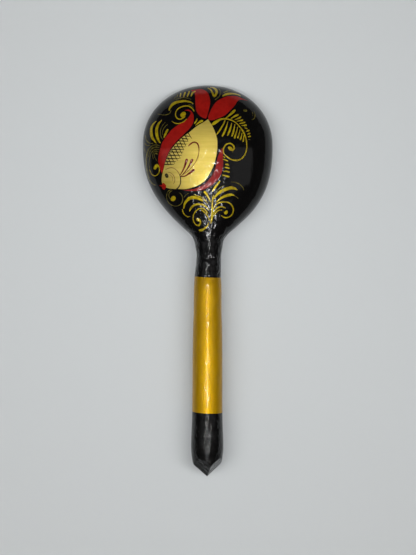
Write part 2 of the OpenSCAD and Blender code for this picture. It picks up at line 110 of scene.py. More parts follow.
# ---- Drawing, in millimetres: the painting was drawn as this eye sees it, at its size on a level plane ----
EYE_XY = np.array([0.2, 1.46])
EYE_Z = 800.0
DRAWN_Z = 8.0
SUNK = 0.12
ON_LACQUER = 0.05
UNDER_BOLD = 0.9
ON_FISH = 0.09
OVER_LINES = 0.12
THINNEST = 0.16
ROUND_END = np.radians([80, 62, 42, 20])
STROKE_STEP = 0.4
FILL_STEP = 0.9
FILL_GAP = 0.4 * FILL_STEP

# ---- Varnish, lights and lens. Lights stand in metres. ----
PAINT_ROUGHNESS = 0.4
GOLD_ROUGHNESS = {"band_gold": 0.48, "fish_gold": 0.5}
VARNISH_IOR = 1.35
VARNISH_ROUGHNESS = 0.06
UNDER_VARNISH_SHINE = 0.03
# Where the varnish has lumps: start and end in metres along the spoon, and the share left at the start.
BOWL_LUMPS = ((0.076, 0.064, 0), (0.03, 0.012, 0.65), (-0.002, 0.004, 0))
BAND_LUMPS = ((0.004, -0.002, 0), (-0.074, -0.066, 0))
END_LUMPS = ((-0.066, -0.074, 0),)
LIGHT_Y = -0.04
LIGHT_Z = 1.3
STRIP_RADIANCE = 0.28
SIDE_RADIANCE = 0.2
LINE_RADIANCE = 150
FILL_RADIANCE = 4.6
ROOM_COLOR = (0.06, 0.06, 0.062, 1)
LENS = 100.7
SENSOR_W = 36


def smooth(table, s):
    """A smooth curve through a table of (station, value), at the stations s."""
    xs, ys = np.array(table, float).T
    slopes = np.empty_like(ys)
    slopes[1:-1] = (ys[2:] - ys[:-2]) / (xs[2:] - xs[:-2])
    slopes[0] = (ys[1] - ys[0]) / (xs[1] - xs[0])
    slopes[-1] = (ys[-1] - ys[-2]) / (xs[-1] - xs[-2])
    s = np.asarray(s, float)
    i = np.clip(np.searchsorted(xs, s, side="right") - 1, 0, len(xs) - 2)
    h = xs[i + 1] - xs[i]
    u = (s - xs[i]) / h
    rise = ys[i] * (2 * u**3 - 3 * u**2 + 1) + ys[i + 1] * (3 * u**2 - 2 * u**3)
    return rise + slopes[i] * h * (u**3 - 2 * u**2 + u) + slopes[i + 1] * h * (u**3 - u**2)


def ease(u):
    """A soft step from 0 to 1."""
    u = np.clip(u, 0, 1)
    return u * u * (3 - 2 * u)


def half_width(s):
    s = np.asarray(s, float)
    front = np.clip((WIDEST - s) / WIDEST, 0, 1)
    swell = WIDEST_R * (1 - front**FRONT_POWER) ** (1 / FRONT_POWER)
    return np.where(s < WIDEST, np.maximum(swell, BLUNT), smooth(HALF_WIDTHS, np.maximum(s, WIDEST)))


# The thick end of the handle just touches the table.
END_STATIONS = np.arange(170, 191.1, 0.5)
END_RISES = (FULL - END_STATIONS) * math.tan(HANDLE_TILT)
AXIS_END_Z = np.max(half_width(END_STATIONS) / math.cos(HANDLE_TILT) - END_RISES)


def axis_z(s):
    return AXIS_END_Z + (FULL - np.asarray(s, float)) * math.tan(HANDLE_TILT)


SIDE_HEIGHTS = [
    (0, 3), (18, 3.6), (36, 4.25), (54, 4.95), (62, 5.6), (70, 7.1), (78, 9), (NECK, float(axis_z(NECK))),
]


def side_z(s):
    """Height of the widest line along each side."""
    s = np.asarray(s, float)
    return np.where(s < NECK, smooth(SIDE_HEIGHTS, np.minimum(s, NECK)), axis_z(s))


def back_rise(s):
    """How far the crest stands over the sides."""
    s = np.asarray(s, float)
    front = BACK_RISE * half_width(s) / WIDEST_R
    bowl = smooth(BACK_RISES, np.clip(s, WIDEST, NECK))
    return np.where(s < WIDEST, front, np.where(s < NECK, bowl, half_width(s)))


def middle_x(s):
    """The middle line wanders a little under the bowl and neck, and is straight along the handle."""
    s = np.asarray(s, float)
    band_x = MIDDLES[-1][1]
    along_handle = band_x + (s - BAND_FRONT) * (TIP_X - band_x) / (FULL - BAND_FRONT)
    return np.where(s < BAND_FRONT, smooth(MIDDLES, np.minimum(s, BAND_FRONT)), along_handle)


def back_z(x, y):
    """Height of the painted back over the point (x, y)."""
    s = MID - np.asarray(y, float)
    u = (np.asarray(x, float) - middle_x(s)) / half_width(s)
    return side_z(s) + back_rise(s) * np.sqrt(np.maximum(1 - u * u, 0))


# ---- Skins: grids of points over each coat ----
# t is the angle about the middle line: 0 at the left side, half a turn at the right one.
def column(values):
    return np.asarray(values, float)[:, None]


def grid(x, y, z):
    return np.stack(np.broadcast_arrays(x, y, z), axis=-1)


def rim_z(s):
    return np.maximum(s - RIM_TUCK, 0) * math.tan(RIM_TILT)


def radius_at(s, t, depth):
    """Radius of the handle, cut back to the four flats at its end."""
    reach = np.maximum(FULL - depth / math.sin(CUT_ANGLE) - s, 0.01) * math.tan(CUT_ANGLE)
    cut = reach / (np.abs(np.cos(t - CUT_TURN)) + np.abs(np.sin(t - CUT_TURN)))
    return np.minimum(half_width(s) - depth, cut)


def over_back(s, t, depth):
    """Points over the back of the bowl and the top of the handle."""
    on_handle = s >= NECK
    round_r = radius_at(s, t, depth)
    across = np.where(on_handle, round_r, np.maximum(half_width(s) - depth, BLUNT))
    upward = np.where(on_handle, round_r, np.maximum(back_rise(s) - depth, BLUNT))
    inset = np.where(s < WIDEST, s + depth * (1 - s / WIDEST), s)
    return grid(middle_x(s) - across * np.cos(t), MID - inset, side_z(s) + upward * np.sin(t))


def handle_round(s, t, depth):
    """Points round the handle."""
    r = radius_at(s, t, depth)
    return grid(middle_x(s) - r * np.cos(t), MID - s, axis_z(s) + r * np.sin(t))


def rim_edge(s, side, tuck):
    """The outer edge of the rim, tucked in under the bowl's sides."""
    back = s + np.where(s < WIDEST, tuck * (1 - s / WIDEST), 0)
    x = middle_x(s) + side * (half_width(s) - tuck * np.minimum(half_width(s) / TUCKED_FROM, 1))
    return grid(x, MID - back, rim_z(back))


def rounding(s):
    """How far the underside has turned from the flat rim to the round handle, 0 to 1."""
    return ease((s - FLAT_END) / (ROUND_START - FLAT_END))[..., None]


def foot(s, side, depth):
    """The lower edge of the back's lacquer, on the rim or on the neck's side."""
    t = -UNDER_TURN if side < 0 else math.pi + UNDER_TURN
    u = rounding(s)
    return rim_edge(s, side, RIM_TUCK - COAT + depth) * (1 - u) + handle_round(s, t, depth) * u


def under_band(s):
    """How deep the black lacquer lies at s: it runs a little way in under each end of the gold band."""
    into_front = ease((s - BAND_FRONT + UNDER_BAND_REACH) / UNDER_BAND_FADE)
    into_back = ease((BAND_BACK + UNDER_BAND_REACH - s) / UNDER_BAND_FADE)
    return UNDER_BAND * into_front * into_back


def back_skin(s, depth):
    """Over the back, from the lacquer's lower edge at the left to its lower edge at the right."""
    s = column(s)
    arc = over_back(s, np.linspace(0, math.pi, ARC_POINTS)[None, :], depth)
    climb = np.linspace(0, 1, SIDE_POINTS)[:-1][None, :, None]
    left = foot(s, -1, depth) * (1 - climb) + arc[:, :1] * climb
    right = foot(s, 1, depth) * (1 - climb) + arc[:, -1:] * climb
    return np.concatenate([left, arc, right[:, ::-1]], axis=1)


def neck_skin(s, depth):
    """Under the neck: flat behind the rim, then round."""
    s = column(s)
    t = np.linspace(UNDER_TURN, math.pi - UNDER_TURN, UNDERSIDE_POINTS)[None, :]
    half = half_width(s) - RIM_TUCK
    flat = grid(middle_x(s) - half * np.cos(t) / math.cos(UNDER_TURN), MID - s, rim_z(s) + depth)
    r = (half_width(s) - depth) * np.ones_like(t)
    flatness = np.where(s < NECK, NECK_FLATNESS, 1)
    turned = grid(middle_x(s) - r * np.cos(t), MID - s, axis_z(s) - r * flatness * np.sin(t))
    u = rounding(s)
    return flat * (1 - u) + turned * u


def hollow_skin(s, depth):
    """Over the inside of the hollow."""
    s = column(s)
    t = np.linspace(0, math.pi, HOLLOW_POINTS)[None, :]
    span = np.where(s < HOLLOW_MID, HOLLOW_MID - HOLLOW_FRONT, HOLLOW_BACK - HOLLOW_MID)
    swell = (1 - np.minimum(np.abs(s - HOLLOW_MID) / span, 1) ** HOLLOW_POWER) ** (1 / HOLLOW_POWER)
    across = np.maximum(HOLLOW_R * swell - depth, HOLLOW_END_R)
    upward = np.maximum(HOLLOW_DEPTH * swell - depth, 0)
    return grid(HOLLOW_X - across * np.cos(t), MID - s, rim_z(s) + upward * np.sin(t))


def sleeve_skin(s, depth, lean=0.0):
    """Right round the handle. Its ends are hand-painted lines that lean and bow by that many millimetres."""
    t = np.linspace(0, 2 * math.pi, SLEEVE_POINTS)[None, :-1] + CUT_TURN
    ends = lean * (2 * np.linspace(0, 1, len(s))[:, None] - 1) ** 6
    return handle_round(column(s) + ends * (np.sin(t) - np.cos(t)), t, depth)


# ---- Meshes ----
def shaped(name, points, faces, materials, slots=None):
    """A mesh object from points in millimetres, smooth except over sharp edges."""
    mesh = bpy.data.meshes.new(name)
    mesh.from_pydata((np.asarray(points) * MM).tolist(), [], faces)
    for material in materials:
        mesh.materials.append(material)
    if slots is not None:
        mesh.polygons.foreach_set("material_index", slots)
    mesh.polygons.foreach_set("use_smooth", [True] * len(mesh.polygons))
    mesh.set_sharp_from_angle(angle=SHARP)
    mesh.validate()
    mesh.update()
    piece = bpy.data.objects.new(name, mesh)
    bpy.context.collection.objects.link(piece)
    return piece


def coat_solid(name, outer, inner, material, closed=False):
    """A thin closed coat between two skins. A closed one runs right round."""
    rows, cols = outer.shape[:2]
    number = np.arange(2 * rows * cols).reshape(2, rows, cols)
    if closed:
        number = np.concatenate([number, number[:, :, :1]], axis=2)
    a, b = number
    walls = [
        (a[:-1, :-1], a[:-1, 1:], a[1:, 1:], a[1:, :-1]),
        (b[:-1, :-1], b[1:, :-1], b[1:, 1:], b[:-1, 1:]),
        (a[0, :-1], b[0, :-1], b[0, 1:], a[0, 1:]),
        (a[-1, :-1], a[-1, 1:], b[-1, 1:], b[-1, :-1]),
    ]
    if not closed:
        walls.append((a[:-1, 0], a[1:, 0], b[1:, 0], b[:-1, 0]))
        walls.append((a[:-1, -1], b[:-1, -1], b[1:, -1], a[1:, -1]))
    faces = np.concatenate([np.stack([c.ravel() for c in wall], axis=1) for wall in walls])
    points = np.concatenate([outer.reshape(-1, 3), inner.reshape(-1, 3)])
    return shaped(name, points, faces.tolist(), [material])


# ---- Brushwork ----
def curve(points):
    """A smooth curve through the points, in short steps."""
    p = np.array(points, float)
    ends = np.vstack([2 * p[0] - p[1], p, 2 * p[-1] - p[-2]])
    run = []
    for a, b, c, d in zip(ends, ends[1:], ends[2:], ends[3:]):
        count = max(2, math.ceil(np.linalg.norm((c - b)[:2]) / STROKE_STEP))
        f = (np.arange(count) / count)[:, None]
        bend = (2 * a - 5 * b + 4 * c - d) * f**2 + (3 * b - a - 3 * c + d) * f**3
        run.append(0.5 * (2 * b + (c - a) * f + bend))
    return np.vstack(run + [p[-1:]])


def lay(points, lift):
    """Lowers drawn points along the eye's line onto the back, and stands them that far off it."""
    xy = np.asarray(points, float)
    spot = xy
    for _ in range(3):
        share = (EYE_Z - back_z(*spot.T)) / (EYE_Z - DRAWN_Z)
        spot = EYE_XY + (xy - EYE_XY) * share[:, None]
    return np.column_stack([spot, back_z(*spot.T) + lift])


def stroke_solid(points, lift):
    """One brush stroke: a low, round-ended ridge of paint, sunk a little into the coat below."""
    line = curve(points)
    xy = line[:, :2]
    half = np.maximum(line[:, 2], THINNEST) / 2
    way = np.gradient(xy, axis=0)
    way /= np.linalg.norm(way, axis=1)[:, None]
    reach = np.sin(ROUND_END)[:, None]
    head = xy[0] - way[0] * half[0] * reach
    tail = xy[-1] + way[-1] * half[-1] * reach[::-1]
    xy = np.vstack([head, xy, tail])
    narrow = np.cos(ROUND_END)
    half = np.concatenate([half[0] * narrow, half, half[-1] * narrow[::-1]])
    rings_added = len(ROUND_END)
    way = np.vstack([np.repeat(way[:1], rings_added, 0), way, np.repeat(way[-1:], rings_added, 0)])
    across = np.column_stack([-way[:, 1], way[:, 0]]) * half[:, None]
    profile = [(-1, -SUNK), (-1, 0.4 * lift), (-0.5, lift), (0.5, lift), (1, 0.4 * lift), (1, -SUNK)]
    rings = np.stack([lay(xy + side * across, rise) for side, rise in profile], axis=1)
    rows, cols = rings.shape[:2]
    number = np.arange(rows * cols).reshape(rows, cols)
    around = np.concatenate([number, number[:, :1]], axis=1)
    quads = np.stack([around[:-1, :-1], around[:-1, 1:], around[1:, 1:], around[1:, :-1]], axis=-1)
    caps = [number[0, ::-1].tolist(), number[-1].tolist()]
    return rings.reshape(-1, 3), quads.reshape(-1, 4).tolist() + caps


def inside(outline, spots):
    """Which of the spots lie inside the outline."""
    x, y = spots.T
    hit = np.zeros(len(spots), bool)
    for (ax, ay), (bx, by) in zip(outline, np.roll(outline, -1, axis=0)):
        if ay != by:
            crosses = ((ay > y) != (by > y)) & (x < (bx - ax) * (y - ay) / (by - ay) + ax)
            hit ^= crosses
    return hit


def filled_solid(edges, lift):
    """A filled patch of paint inside its edge curves, sunk a little into the coat below."""
    outline = np.vstack([curve(edge)[:-1] for edge in edges])
    low, high = outline.min(0), outline.max(0)
    columns = np.arange(low[0], high[0], FILL_STEP)
    rows = np.arange(low[1], high[1], FILL_STEP)
    xs, ys = np.meshgrid(columns, rows)
    spots = np.column_stack([xs.ravel(), ys.ravel()])
    spots = spots[inside(outline, spots)]
    gap = np.min(np.linalg.norm(spots[:, None] - outline[None], axis=2), axis=1)
    flat = [Vector(p) for p in np.vstack([outline, spots[gap > FILL_GAP]])]
    flat, _, triangles, *_ = delaunay_2d_cdt(flat, [], [list(range(len(outline)))], 1, 1e-5)
    xy = np.array([tuple(p) for p in flat])
    count = len(xy)
    triangles = [list(t) for t in triangles]
    links = {(t[i], t[(i + 1) % 3]) for t in triangles for i in range(3)}
    walls = [[b, a, a + count, b + count] for a, b in sorted(links) if (b, a) not in links]
    below = [[v + count for v in reversed(t)] for t in triangles]
    return np.vstack([lay(xy, lift), lay(xy, -SUNK)]), triangles + below + walls


def painted(name, layers):
    """One painted piece from its layers, each (material, height, filled shapes, strokes)."""
    points, faces, slots = [], [], []
    for slot, (_, lift, fills, strokes) in enumerate(layers):
        solids = [filled_solid(one, lift) for one in fills] + [stroke_solid(one, lift) for one in strokes]
        for spots, sides in solids:
            first = sum(len(p) for p in points)
            points.append(spots)
            faces += [[v + first for v in side] for side in sides]
            slots += [slot] * len(sides)
    return shaped(name, np.vstack(points), faces, [layer[0] for layer in layers], slots)


# ---- Materials ----
def new_material(name, color, metallic, roughness, varnished=False):
    material = bpy.data.materials.new(name)
    material.use_nodes = True
    shader = material.node_tree.nodes["Principled BSDF"]
    shader.inputs["Base Color"].default_value = (*color, 1)
    shader.inputs["Metallic"].default_value = metallic
    shader.inputs["Roughness"].default_value = roughness
    shader.inputs["Coat Weight"].default_value = float(varnished)
    shader.inputs["Coat Roughness"].default_value = VARNISH_ROUGHNESS
    if varnished:
        shader.inputs["Coat IOR"].default_value = VARNISH_IOR
        shader.inputs["Specular IOR Level"].default_value = UNDER_VARNISH_SHINE
    return material


def node(material, kind, **values):
    """Adds a node. Values name its own settings, or its inputs."""
    made = material.node_tree.nodes.new(kind)
    for key, value in values.items():
        if hasattr(made, key):
            setattr(made, key, value)
        else:
            made.inputs[key.replace("_", " ")].default_value = value
    return made


def join(material, out, into):
    material.node_tree.links.new(out, into)


def socket(material, name):
    return material.node_tree.nodes["Principled BSDF"].inputs[name]


def place(material, scale):
    """The piece's own coordinates, in millimetres times the scale."""
    spot = node(material, "ShaderNodeTexCoord")
    mapping = node(material, "ShaderNodeMapping", Scale=[k / MM for k in scale])
    join(material, spot.outputs["Object"], mapping.inputs["Vector"])
    return mapping.outputs["Vector"]


def noise(material, scale, detail, rough=0.5, distort=0.0):
    made = node(
        material, "ShaderNodeTexNoise", Scale=1.0, Detail=detail, Roughness=rough, Distortion=distort
    )
    join(material, place(material, scale), made.inputs["Vector"])
    return made.outputs["Fac"]


def blend_colors(material, factor, low, high, start=0.35, end=0.65):
    ramp = node(material, "ShaderNodeValToRGB")
    first, last = ramp.color_ramp.elements
    first.position = start
    first.color = (*low, 1)
    last.position = end
    last.color = (*high, 1)
    join(material, factor, ramp.inputs["Fac"])
    return ramp.outputs["Color"]


def bump(material, height, depth_mm, mask=None, under=None):
    """Bumps of that depth, where the mask lets them be, over the normal of what lies under them."""
    made = node(material, "ShaderNodeBump", Strength=1.0, Distance=depth_mm * MM)
    join(material, height, made.inputs["Height"])
    if mask is not None:
        join(material, mask, made.inputs["Strength"])
    if under is not None:
        join(material, under, made.inputs["Normal"])
    return made.outputs["Normal"]


def crest_mask(material, near_x, far_x, ramps):
    """1 along the crest and 0 beside it. All places are in metres.

    It fades out from near_x to far_x. Each ramp leaves a least share of it at its start, and all at its end.
    """
    spot = node(material, "ShaderNodeTexCoord")
    parts = node(material, "ShaderNodeSeparateXYZ")
    join(material, spot.outputs["Object"], parts.inputs["Vector"])
    away = node(material, "ShaderNodeMath", operation="ABSOLUTE")
    join(material, parts.outputs["X"], away.inputs[0])
    fade = node(
        material, "ShaderNodeMapRange", interpolation_type="SMOOTHSTEP", From_Min=far_x, From_Max=near_x
    )
    join(material, away.outputs[0], fade.inputs["Value"])
    mask = fade.outputs["Result"]
    for start, end, least in ramps:
        along = node(material, "ShaderNodeMapRange", From_Min=start, From_Max=end, To_Min=least)
        join(material, parts.outputs["Y"], along.inputs["Value"])
        both = node(material, "ShaderNodeMath", operation="MULTIPLY")
        join(material, mask, both.inputs[0])
        join(material, along.outputs["Result"], both.inputs[1])
        mask = both.outputs[0]
    return mask


def varnish(material):
    """Slow waves, and lumps along the crest: small on the bowl, longer on the band, finer at the end."""
    on_bowl = crest_mask(material, 0.006, 0.016, BOWL_LUMPS)
    on_band = crest_mask(material, 0.002, 0.01, BAND_LUMPS)
    on_end = crest_mask(material, 0.002, 0.01, END_LUMPS)
    waves = bump(material, noise(material, (0.16, 0.09, 0.16), 2), 0.2)
    small = bump(material, noise(material, (0.52, 0.4, 0.52), 1, 0.3, 0.6), 0.75, on_bowl, waves)
    long = bump(material, noise(material, (0.32, 0.24, 0.32), 1, 0.3, 0.6), 0.68, on_band, small)
    fine = bump(material, noise(material, (0.42, 0.3, 0.42), 3, 0.45, 0.5), 0.95, on_end, long)
    join(material, waves, socket(material, "Normal"))
    join(material, fine, socket(material, "Coat Normal"))


def painted_coat(name, metallic, scale, color, dark, light):
    """A varnished paint, mottled from dark to light."""
    roughness = GOLD_ROUGHNESS.get(name, PAINT_ROUGHNESS)
    material = new_material(name, color, metallic, roughness, varnished=True)
    mottle = noise(material, scale, 4, 0.6)
    join(material, blend_colors(material, mottle, dark, light), socket(material, "Base Color"))
    varnish(material)
    return material


def rub_round_handle(gold):
    """The band's gold was rubbed on round the handle, so its shine spreads to the sides."""
    grain = node(gold, "ShaderNodeMapRange", To_Min=0.43, To_Max=0.49)
    join(gold, noise(gold, (1.2, 0.5, 1.2), 4), grain.inputs["Value"])
    join(gold, grain.outputs["Result"], socket(gold, "Roughness"))
    rubbed = node(gold, "ShaderNodeTangent", direction_type="RADIAL", axis="Y")
    join(gold, rubbed.outputs["Tangent"], socket(gold, "Tangent"))
    socket(gold, "Anisotropic").default_value = 0.8
    socket(gold, "Coat Weight").default_value = 0.75


def limewood():
    wood = new_material("limewood", (0.62, 0.42, 0.22), 0.0, 0.6)
    rings = noise(wood, (0.5, 0.03, 0.5), 5, 0.6, 0.4)
    join(wood, blend_colors(wood, rings, (0.5, 0.31, 0.14), (0.7, 0.5, 0.28)), socket(wood, "Base Color"))
    join(wood, bump(wood, rings, 0.08), socket(wood, "Normal"))
    return wood


def table_top():
    """Pale, with a painted pool of light: a little lighter round the spoon."""
    top = new_material("table_top", (0.6, 0.62, 0.625), 0.0, 0.7)
    shade = node(top, "ShaderNodeMapping", Location=(0, -0.14, 0), Scale=(3.4, 3.0, 0))
    join(top, node(top, "ShaderNodeTexCoord").outputs["Object"], shade.inputs["Vector"])
    fade = node(top, "ShaderNodeTexGradient", gradient_type="SPHERICAL")
    join(top, shade.outputs["Vector"], fade.inputs["Vector"])
    # Painted light: the top's colour is lighter near the spoon and darker farther away.
    painted_light = blend_colors(top, fade.outputs["Fac"], (0.53, 0.545, 0.545), (0.64, 0.67, 0.68), 0.1, 0.9)
    join(top, painted_light, socket(top, "Base Color"))
    return top


# ---- The painting, seen from above in millimetres ----
# A stroke is a list of (x, y, width) along the brush's path.
# A filled shape is a list of edge curves, end to end, each a list of (x, y).

FISH_UPPER = [
    (0.2, 82.2), (-2.4, 80.5), (-4.4, 79.4), (-6.5, 77.9), (-9.1, 75.7), (-12.3, 73.4), (-15, 70.9),
    (-17.6, 68), (-19.9, 64.4), (-21.3, 61), (-22.3, 57.5), (-23.2, 53.5), (-23.4, 50.6), (-22.8, 48.6),
    (-20.9, 47.2),
]
FISH_LOWER = [
    (-20.9, 47.2), (-18.9, 46.8), (-15.2, 46.6), (-11.5, 46.6), (-9, 47.1), (-6, 48), (-3.3, 49.4),
    (-1.2, 51.1), (0.6, 53.7), (2.4, 57), (3.6, 60.3), (4.5, 64), (4.95, 68), (4.8, 72), (3.9, 75.4),
    (2.3, 78.9), (0.2, 82.2),
]
FISH_BODY = [FISH_UPPER, FISH_LOWER]

BACK_FIN = [
    [(-23.4, 54.4), (-24.2, 57), (-25.1, 60), (-25.1, 63), (-24.4, 66.2), (-23.6, 69), (-22.5, 71.4),
     (-20.4, 74.4), (-18, 77.1), (-15.8, 78.8), (-13.4, 80.3), (-11, 81.9), (-9.4, 83.6), (-8.7, 85.2),
     (-9.4, 86.3), (-11.9, 86.7)],
    [(-11.9, 86.7), (-9.9, 87.1), (-8.3, 86.3), (-7.3, 84.7), (-7.1, 82.6), (-7.4, 80.6), (-8.4, 78.5),
     (-9.8, 76.8), (-11.8, 74.9), (-14, 72.7), (-16.2, 70.5), (-18.3, 68), (-20, 65), (-21.3, 61.8),
     (-22.2, 58.6), (-22.8, 56), (-23.4, 54.4)],
]
TAIL_LEFT = [
    [(-1, 82.4), (-3.2, 83.4), (-4.9, 85), (-5.9, 87), (-6.2, 89.6), (-6.3, 92.6), (-6.6, 95.4), (-8.6, 97)],
    [(-8.6, 97), (-6.2, 97.3), (-3.9, 97.7), (-1.9, 97.2), (-0.3, 96.1), (0.7, 94.3), (1.2, 92.2),
     (1.2, 89.9), (0.7, 87.4), (0.1, 85.1), (-0.3, 83.5), (-1, 82.4)],
]
TAIL_RIGHT = [
    [(0.5, 81.8), (0.3, 83.4), (1, 85.6), (2.1, 87.8), (3.4, 89.9), (5.2, 91.7), (7.4, 92.9),
     (9.8, 93.8), (12.4, 94.1), (14.8, 93.9), (17.4, 92.9), (20.8, 91.5)],
    [(20.8, 91.5), (18, 92.1), (16, 92), (15, 91), (14, 89.4), (12.6, 87.8), (10.8, 86), (9.2, 84.5),
     (7.2, 83.3), (4.8, 82.5), (2.6, 81.7), (0.5, 81.8)],
]
BELLY_FIN = [
    [(-13.6, 46.3), (-10, 46.2), (-7, 46.6), (-4, 47.7), (-1.6, 49.1), (0.4, 51), (2, 53.1), (3.3, 55.6),
     (4.2, 58), (4.8, 61), (5.5, 63.8), (6.5, 66), (7.5, 67.6)],
    [(7.5, 67.6), (7.9, 65.6), (7.9, 62), (7.9, 59), (7.5, 56.3), (6.8, 54.1), (5.6, 52), (4, 50.2),
     (2, 48.4), (-0.6, 46.9), (-3.4, 46), (-6.6, 45.6), (-10, 45.7), (-13.6, 46.3)],
]
MOUTH = [
    [(-24.8, 48.3), (-23.4, 48.6), (-22.9, 49.7), (-22, 49.4), (-21.2, 48.4), (-21.3, 47.2), (-22.1, 46.2)],
    [(-22.1, 46.2), (-23, 46.8), (-23.6, 47.9), (-24.8, 48.3)],
]

GILL_TOP = [
    [(-21.4, 56.5, 0.3), (-20, 57.2, 0.4), (-18.4, 57.5, 0.4), (-16.9, 57, 0.4), (-15.5, 55.8, 0.45),
     (-14.4, 54.2, 0.5)],
]
GILL_LINE = [
    [(-14.6, 54.5, 0.3), (-13.95, 52.9, 0.5), (-13.75, 51, 0.6), (-13.9, 49.4, 0.6), (-14.6, 47.8, 0.7),
     (-15.8, 46.5, 0.9)],
]
CHEEK = [
    [(-20.2, 55.2, 0.25), (-18.8, 54.8, 0.3), (-17.5, 53.7, 0.35), (-16.8, 52.1, 0.35),
     (-16.8, 50.5, 0.35), (-17.4, 49.2, 0.25)],
    [(-19.4, 53.9, 0.2), (-18.3, 53.2, 0.25), (-17.8, 52, 0.25), (-17.9, 50.8, 0.2)],
]
EYE = [[(-21, 53.65, 1.9), (-20.8, 53.2, 1.95)]]
# The eye's glint is a painted highlight.
EYE_GLINT = [[(-21.1, 53.7, 0.5), (-21, 53.5, 0.5)]]
BODY_CURVE = [
    [(-9.7, 68.6, 0.5), (-9, 69.3, 0.85), (-8, 70.1, 0.85), (-6.8, 70.5, 0.85), (-5.6, 70.1, 0.85),
     (-4.8, 69.1, 0.75), (-4.45, 67.6, 0.6), (-4.4, 66, 0.45)],
]
BODY_CURVE_LOW = [
    [(-4.4, 66.4, 0.4), (-4.6, 64.4, 0.45), (-5.3, 62.2, 0.45), (-6.4, 59.9, 0.45), (-8, 57.8, 0.45),
     (-9.8, 56, 0.45), (-11.8, 54.4, 0.45), (-13.4, 53.5, 0.4)],
]
SIDE_FIN = [
    [(-13.9, 53.9, 0.5), (-12.8, 55.7, 0.75), (-11.8, 57.9, 1), (-11.1, 60, 1.35), (-10.7, 61.4, 1.5)],
    [(-13.2, 53.6, 0.3), (-11.6, 55.3, 0.6), (-9.9, 57.6, 0.85), (-8.7, 59.7, 1.2), (-7.95, 61.3, 1.5)],
    [(-13.5, 53, 0.7), (-11.6, 53.2, 0.75), (-9.9, 54.2, 1), (-8.4, 55.3, 1.3), (-7.2, 56.2, 1.4)],
]
SIDE_FIN_DOTS = [
    [(-10.95, 60.3, 0.4), (-10.75, 61, 0.5)],
    [(-8.35, 60.7, 0.4), (-8.05, 61.4, 0.5)],
    [(-9, 55.4, 0.5), (-8.3, 56, 0.5)],
]

FERN = [
    [(2.3, 79.5, 0.9), (3.4, 80.2, 1.5), (4.8, 81.2, 1.4), (6.3, 82, 1), (8, 82.4, 0.8),
     (10, 82.3, 0.65), (12, 81.8, 0.6), (13.7, 80.9, 0.55), (15.2, 79.7, 0.5), (16.6, 78.1, 0.55),
     (17.9, 76.3, 0.7), (18.9, 74.4, 0.7), (19.6, 72.3, 0.6), (19.95, 70, 0.5), (20, 67.6, 0.55),
     (19.6, 65.6, 0.6), (18.7, 63.7, 0.6), (17.4, 62.2, 0.7), (15.8, 61.4, 0.75), (14.2, 61.2, 0.8),
     (12.4, 61.6, 0.7), (10.8, 62.5, 0.6), (9.4, 63.6, 0.5), (8.3, 64.8, 0.5), (8, 66.3, 0.6),
     (8.4, 67.9, 0.65), (9.2, 69.1, 0.65), (10.4, 69.8, 0.65), (11.8, 69.8, 0.65), (12.9, 69.1, 0.7),
     (13.5, 68.1, 0.75), (13.4, 67, 0.8), (12.7, 66.4, 0.9)],
    [(11.2, 67.6, 1.6), (11.9, 67, 1.9), (12.5, 66.5, 1.1)],
    [(8.9, 81.7, 0.4), (8.2, 80, 0.65), (7, 77.9, 0.75), (5.8, 76, 0.75), (4.6, 74.5, 0.5)],
    [(10.3, 80.9, 0.3), (9.8, 79, 0.6), (9.1, 76.9, 0.9), (8.3, 75, 0.95), (7.6, 73.8, 0.75)],
    [(12.3, 80.3, 0.3), (11.9, 78.5, 0.6), (11.3, 76.5, 0.9), (10.6, 74.9, 0.85), (10.2, 74, 0.6)],
    [(13.9, 79.6, 0.3), (13.6, 77.9, 0.55), (13.2, 76, 0.8), (12.7, 74.5, 0.8), (12.4, 73.6, 0.6)],
    [(15.3, 78.2, 0.3), (14.9, 76.4, 0.5), (14.4, 74.7, 0.65), (14, 73.4, 0.85), (13.85, 72.8, 0.85)],
    [(16.6, 76.9, 0.3), (16.1, 75, 0.45), (15.7, 73.6, 0.65), (15.5, 72.9, 0.9)],
    [(17.6, 75.1, 0.3), (17.3, 73.7, 0.5), (16.9, 72.4, 0.7), (16.7, 71.8, 0.6)],
    [(18.7, 74.2, 0.4), (18.4, 72.7, 0.5), (18.2, 71.5, 0.75), (18.15, 71, 0.7)],
    [(9.2, 82.7, 0.4), (10.5, 83.7, 0.7), (12, 85, 1.05), (13.3, 86.2, 1.25), (13.8, 86.7, 0.9)],
    [(12, 82.6, 0.4), (13.1, 83.3, 0.7), (14.4, 84, 0.9), (15.5, 84.5, 0.85)],
    [(13.9, 82, 0.3), (15, 82.4, 0.6), (16.1, 82.9, 0.8), (16.8, 83.3, 0.75)],
    [(15, 81.2, 0.3), (16.2, 81.4, 0.5), (17.3, 81.65, 0.8), (17.8, 81.8, 0.75)],
    [(16.4, 80, 0.3), (17.4, 80.2, 0.6), (18.4, 80.5, 0.85), (18.8, 80.6, 0.75)],
    [(17.4, 79.1, 0.3), (18.4, 79, 0.6), (19.2, 79.1, 0.95), (19.6, 79.1, 0.85)],
    [(18.9, 77.8, 0.3), (19.6, 77.6, 0.6), (20, 77.4, 0.6)],
    [(20, 76.1, 0.5), (20.7, 76.4, 0.95), (21, 76.5, 0.8)],
    [(20.4, 74.5, 0.5), (21, 74.8, 0.85), (21.5, 75, 0.75)],
    [(20.8, 73.3, 0.4), (21.4, 73.4, 0.7), (21.8, 73.5, 0.6)],
]
FERN_FAINT = [[(20.9, 72, 0.3), (21.7, 71.8, 0.4)]]

